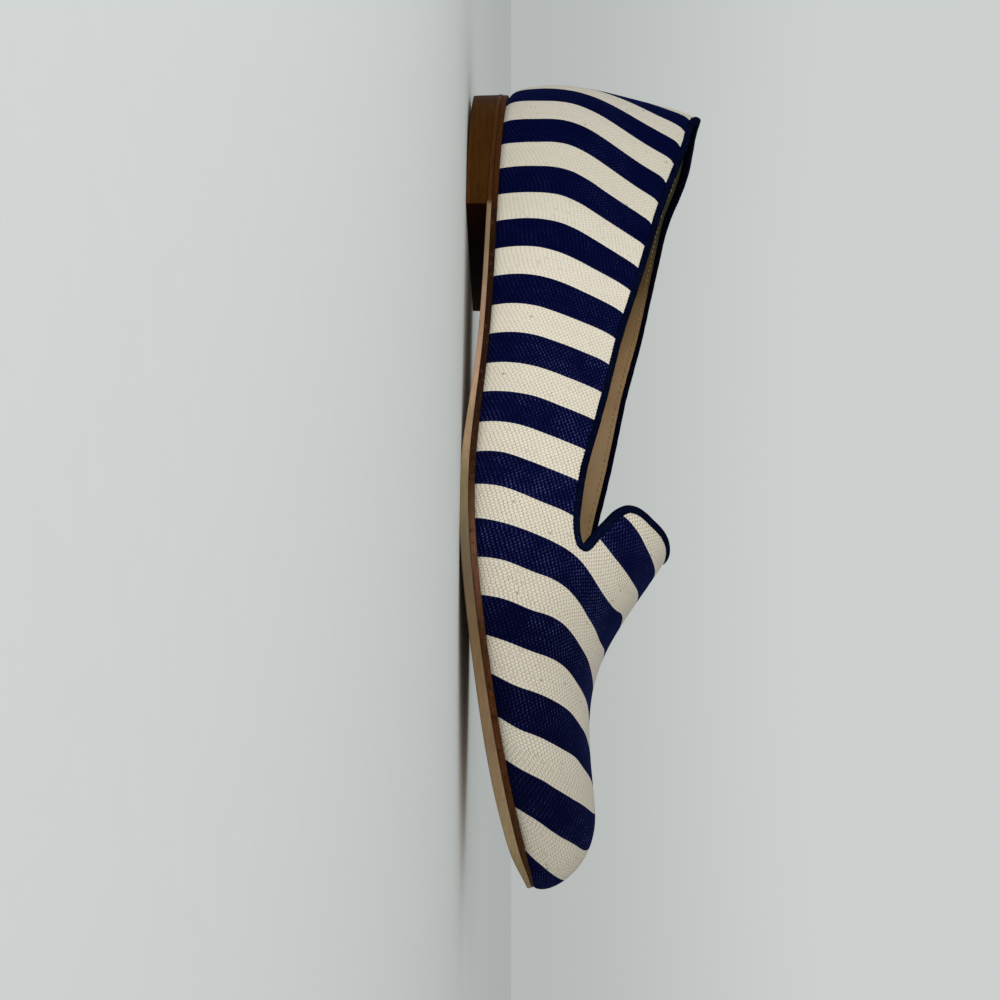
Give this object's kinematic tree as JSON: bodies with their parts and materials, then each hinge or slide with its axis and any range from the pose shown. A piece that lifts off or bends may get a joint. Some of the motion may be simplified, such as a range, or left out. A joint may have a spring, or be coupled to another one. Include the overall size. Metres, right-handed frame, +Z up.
{
  "type": "slipper loafer",
  "caption": "Low-cut fabric slipper loafer for the right foot, with a tab over the instep, a bound opening, a thin leather sole and a low stacked heel.",
  "frame": {"origin": "middle of the shoe's box, on the floor that the heel and the forefoot stand on", "axes": "+X to the toe, +Y to the inner side of the foot, +Z up"},
  "size_m": [0.2652, 0.0822, 0.0802],
  "materials": {
    "canvas": "plain-woven cream canvas with even navy stripes across the shoe",
    "binding": "matt navy ribbon",
    "insole_leather": "smooth tan leather",
    "edge_leather": "brown stained edge",
    "sole_leather": "smooth tan sole leather, lightly worn",
    "heel_leather": "brown stacked leather, satin",
    "top_piece_leather": "brown, worn at the back edge"
  },
  "bodies": {
    "root": {"upper": "canvas", "topline_binding": "binding", "insole": "insole_leather", "midsole": "edge_leather", "outsole": "sole_leather", "heel_lift": "heel_leather", "top_piece": "top_piece_leather"}
  },
  "joints": []
}
